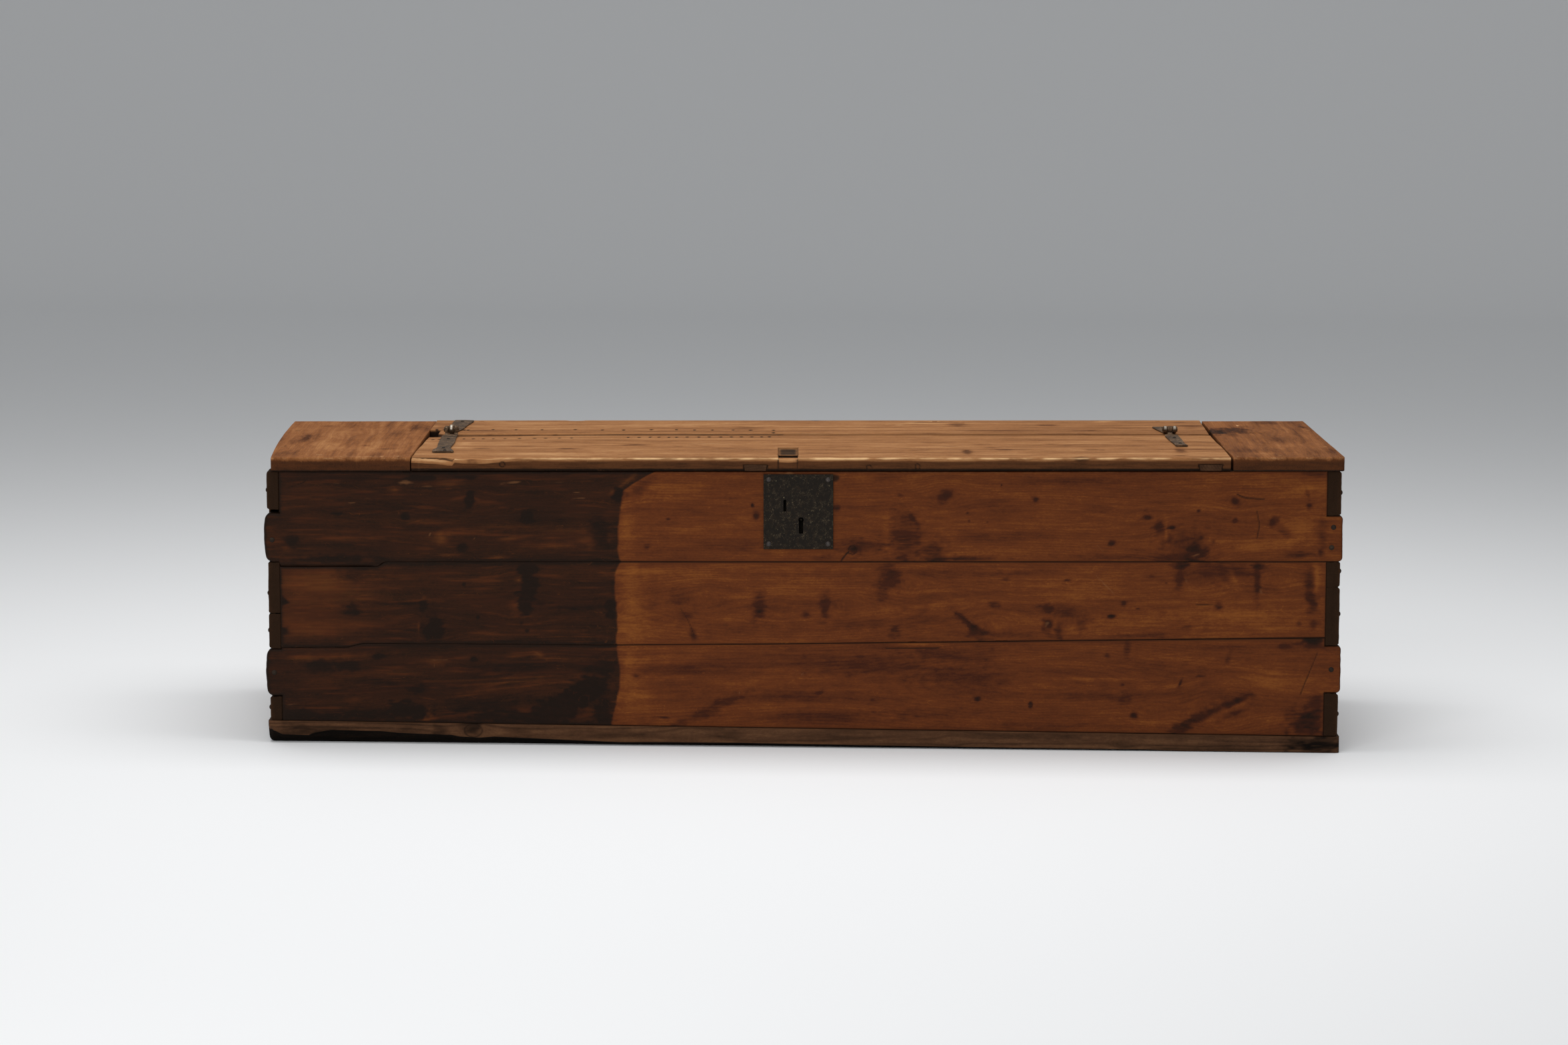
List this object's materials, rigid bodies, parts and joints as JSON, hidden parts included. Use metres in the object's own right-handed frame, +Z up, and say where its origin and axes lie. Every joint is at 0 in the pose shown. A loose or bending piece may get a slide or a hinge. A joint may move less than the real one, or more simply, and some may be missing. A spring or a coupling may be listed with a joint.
{
  "type": "plank coffer with a hinged top board",
  "caption": "Long low softwood storage chest of finger-jointed planks with a fixed-end top, a strap-hinged lid board and an iron lock plate.",
  "frame": {"origin": "middle of the footprint on the floor", "axes": "+X along the length, to the right of someone facing the front; the front faces -Y; +Z up"},
  "size_m": [1.8982, 0.56, 0.5379],
  "materials": {
    "wall_planks": "old waxed softwood, red-brown, dirty brown at the left",
    "top_boards": "worn dry softwood, light warm brown",
    "base_boards": "dark rough softwood",
    "battens": "dark dry softwood",
    "pegs": "end grain, dull",
    "nail_iron": "dark forged iron",
    "hinge_iron": "dark forged iron with polished wear",
    "lock_iron": "blackened pitted sheet iron with bronze-coloured flecks"
  },
  "bodies": {
    "case": {"front_plank_top": "wall_planks", "front_plank_middle": "wall_planks", "front_plank_bottom": "wall_planks", "rear_plank_top": "wall_planks", "rear_plank_middle": "wall_planks", "rear_plank_bottom": "wall_planks", "left_side_plank_upper": "wall_planks", "left_side_plank_lower": "wall_planks", "right_side_plank_upper": "wall_planks", "right_side_plank_lower": "wall_planks", "base_board_front": "base_boards", "base_board_middle": "base_boards", "base_board_rear": "base_boards", "left_end_board": "top_boards", "right_end_board": "top_boards", "rear_top_board": "top_boards", "top_board_pegs": "pegs", "front_nails": "nail_iron", "rear_nails": "nail_iron", "left_nails": "nail_iron", "right_nails": "nail_iron", "base_nails": "nail_iron", "left_hinge_leaf": "hinge_iron", "right_hinge_leaf": "hinge_iron", "left_hinge_pin": "hinge_iron", "right_hinge_pin": "hinge_iron", "hinge_leaf_nails": "hinge_iron", "lock_plate": "lock_iron", "lock_plate_nails": "lock_iron", "bolt_guide_tip": "lock_iron", "bolt_guide_tail": "lock_iron", "bolt_spring": "lock_iron", "key_pin": "lock_iron", "lock_cover": "lock_iron", "lock_cover_nails": "lock_iron"},
    "lid": {"lid_board": "top_boards", "lid_batten_left": "battens", "lid_batten_middle": "battens", "lid_batten_right": "battens", "left_hinge_strap": "hinge_iron", "right_hinge_strap": "hinge_iron", "hinge_strap_nails": "hinge_iron"},
    "bolt": {"lock_bolt": "lock_iron"}
  },
  "joints": [
    {"name": "lid_hinge", "type": "hinge", "parent": "case", "child": "lid", "pos_m": [0.0027, 0.0555, 0.52497], "axis": [-0.9999, 0, -0.0103], "range_deg": [0, 180]},
    {"name": "bolt_slide", "type": "slide", "parent": "case", "child": "bolt", "axis": [-0.9999, 0, -0.0103], "range_m": [0, 0.014]}
  ]
}
